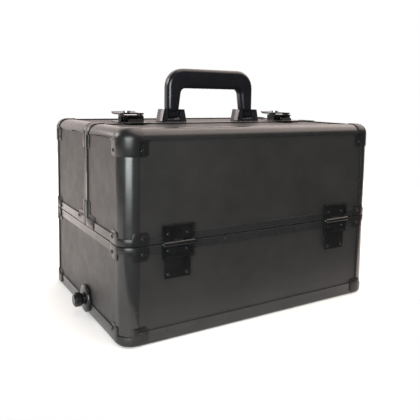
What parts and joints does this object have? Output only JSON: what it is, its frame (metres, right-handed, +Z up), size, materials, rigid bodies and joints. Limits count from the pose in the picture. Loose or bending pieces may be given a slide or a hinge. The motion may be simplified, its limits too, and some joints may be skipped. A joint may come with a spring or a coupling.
{
  "type": "makeup train case",
  "caption": "Rigid makeup train case with two outward-opening lid halves, cantilever trays, draw latches, strap studs and a folding carry handle.",
  "frame": {"origin": "middle of the underside at floor level", "axes": "+X along the long front towards the right end, +Y towards the rear lid, +Z up"},
  "size_m": [0.382, 0.264, 0.295],
  "materials": {
    "panel": "fine-grained black laminate",
    "frame": "black anodised satin",
    "bracket": "black satin paint",
    "hardware": "glossy black plate",
    "steel": "zinc plated",
    "plastic": "semi-gloss black moulding",
    "tray": "black moulded, lined",
    "foam": "black flocked foam"
  },
  "bodies": {
    "base": {"base_frame": "frame", "base_floor_panel": "panel", "base_front_panel": "panel", "base_rear_panel": "panel", "base_left_panel": "panel", "base_right_panel": "panel", "base_floor_pad": "foam", "base_left_link_strip": "steel", "base_right_link_strip": "steel", "front_left_hinge_base_leaf": "hardware", "front_right_hinge_base_leaf": "hardware", "rear_left_hinge_base_leaf": "hardware", "rear_right_hinge_base_leaf": "hardware", "front_left_hinge_pin": "steel", "front_right_hinge_pin": "steel", "rear_left_hinge_pin": "steel", "rear_right_hinge_pin": "steel", "left_strap_stud": "hardware", "right_strap_stud": "hardware"},
    "front_lid": {"front_lid_frame": "frame", "front_lid_wall_panel": "panel", "front_lid_top_panel": "panel", "front_lid_left_panel": "panel", "front_lid_right_panel": "panel", "front_left_hinge_lid_leaf": "hardware", "front_right_hinge_lid_leaf": "hardware", "front_left_tray_strip": "steel", "front_right_tray_strip": "steel", "left_latch_strike": "hardware", "right_latch_strike": "hardware"},
    "rear_lid": {"rear_lid_frame": "frame", "rear_lid_wall_panel": "panel", "rear_lid_top_panel": "panel", "rear_lid_left_panel": "panel", "rear_lid_right_panel": "panel", "rear_left_hinge_lid_leaf": "hardware", "rear_right_hinge_lid_leaf": "hardware", "rear_left_tray_strip": "steel", "rear_right_tray_strip": "steel", "left_latch_base": "hardware", "right_latch_base": "hardware", "handle_left_bracket": "plastic", "handle_right_bracket": "plastic"},
    "front_lower_tray": {"front_lower_tray": "tray"},
    "front_upper_tray": {"front_upper_tray": "tray"},
    "front_left_link": {"front_left_link": "steel"},
    "front_right_link": {"front_right_link": "steel"},
    "rear_lower_tray": {"rear_lower_tray": "tray"},
    "rear_upper_tray": {"rear_upper_tray": "tray"},
    "rear_left_link": {"rear_left_link": "steel"},
    "rear_right_link": {"rear_right_link": "steel"},
    "handle": {"handle_grip": "plastic"},
    "left_lever": {"left_latch_lever": "hardware"},
    "left_hook": {"left_latch_hook": "hardware"},
    "left_lock": {"left_lock_cylinder": "steel"},
    "right_lever": {"right_latch_lever": "hardware"},
    "right_hook": {"right_latch_hook": "hardware"},
    "right_lock": {"right_lock_cylinder": "steel"}
  },
  "joints": [
    {"name": "front_lid_hinge", "type": "hinge", "parent": "base", "child": "front_lid", "pos_m": [0, -0.129, 0.106], "axis": [1, 0, 0], "range_deg": [0, 90]},
    {"name": "rear_lid_hinge", "type": "hinge", "parent": "base", "child": "rear_lid", "pos_m": [0, 0.129, 0.106], "axis": [-1, 0, 0], "range_deg": [0, 90]},
    {"name": "front_lower_tray_pivot", "type": "hinge", "parent": "front_lid", "child": "front_lower_tray", "pos_m": [0, -0.099, 0.136], "axis": [1, 0, 0], "range_deg": [-90, 0]},
    {"name": "front_upper_tray_pivot", "type": "hinge", "parent": "front_lid", "child": "front_upper_tray", "pos_m": [0, -0.071, 0.164], "axis": [1, 0, 0], "range_deg": [-90, 0]},
    {"name": "front_left_link_pivot", "type": "hinge", "parent": "base", "child": "front_left_link", "pos_m": [0, -0.089, 0.096], "axis": [1, 0, 0], "range_deg": [0, 90]},
    {"name": "front_right_link_pivot", "type": "hinge", "parent": "base", "child": "front_right_link", "pos_m": [0, -0.089, 0.096], "axis": [1, 0, 0], "range_deg": [0, 90]},
    {"name": "rear_lower_tray_pivot", "type": "hinge", "parent": "rear_lid", "child": "rear_lower_tray", "pos_m": [0, 0.099, 0.136], "axis": [-1, 0, 0], "range_deg": [-90, 0]},
    {"name": "rear_upper_tray_pivot", "type": "hinge", "parent": "rear_lid", "child": "rear_upper_tray", "pos_m": [0, 0.071, 0.164], "axis": [-1, 0, 0], "range_deg": [-90, 0]},
    {"name": "rear_left_link_pivot", "type": "hinge", "parent": "base", "child": "rear_left_link", "pos_m": [0, 0.089, 0.096], "axis": [-1, 0, 0], "range_deg": [0, 90]},
    {"name": "rear_right_link_pivot", "type": "hinge", "parent": "base", "child": "rear_right_link", "pos_m": [0, 0.089, 0.096], "axis": [-1, 0, 0], "range_deg": [0, 90]},
    {"name": "handle_fold", "type": "hinge", "parent": "rear_lid", "child": "handle", "pos_m": [0, 0.001, 0.2365], "axis": [-1, 0, 0], "range_deg": [0, 90]},
    {"name": "left_lever_pivot", "type": "hinge", "parent": "rear_lid", "child": "left_lever", "pos_m": [-0.116, -0.006, 0.232], "axis": [1, 0, 0], "range_deg": [0, 90]},
    {"name": "left_hook_pivot", "type": "hinge", "parent": "left_lever", "child": "left_hook", "pos_m": [-0.116, -0.002, 0.232], "axis": [1, 0, 0], "range_deg": [-90, 0]},
    {"name": "left_lock_turn", "type": "hinge", "parent": "left_lever", "child": "left_lock", "pos_m": [-0.116, 0.008, 0.2383], "axis": [0, 0, 1], "range_deg": [0, 90]},
    {"name": "right_lever_pivot", "type": "hinge", "parent": "rear_lid", "child": "right_lever", "pos_m": [0.116, -0.006, 0.232], "axis": [1, 0, 0], "range_deg": [0, 90]},
    {"name": "right_hook_pivot", "type": "hinge", "parent": "right_lever", "child": "right_hook", "pos_m": [0.116, -0.002, 0.232], "axis": [1, 0, 0], "range_deg": [-90, 0]},
    {"name": "right_lock_turn", "type": "hinge", "parent": "right_lever", "child": "right_lock", "pos_m": [0.116, 0.008, 0.2383], "axis": [0, 0, 1], "range_deg": [0, 90]}
  ],
  "couplings": [
    {"joint": "front_lower_tray_pivot", "follows": "front_lid_hinge", "ratio": -1},
    {"joint": "front_upper_tray_pivot", "follows": "front_lid_hinge", "ratio": -1},
    {"joint": "front_left_link_pivot", "follows": "front_lid_hinge", "ratio": 1},
    {"joint": "front_right_link_pivot", "follows": "front_lid_hinge", "ratio": 1},
    {"joint": "rear_lower_tray_pivot", "follows": "rear_lid_hinge", "ratio": -1},
    {"joint": "rear_upper_tray_pivot", "follows": "rear_lid_hinge", "ratio": -1},
    {"joint": "rear_left_link_pivot", "follows": "rear_lid_hinge", "ratio": 1},
    {"joint": "rear_right_link_pivot", "follows": "rear_lid_hinge", "ratio": 1},
    {"joint": "left_hook_pivot", "follows": "left_lever_pivot", "ratio": -1},
    {"joint": "right_hook_pivot", "follows": "right_lever_pivot", "ratio": -1}
  ]
}
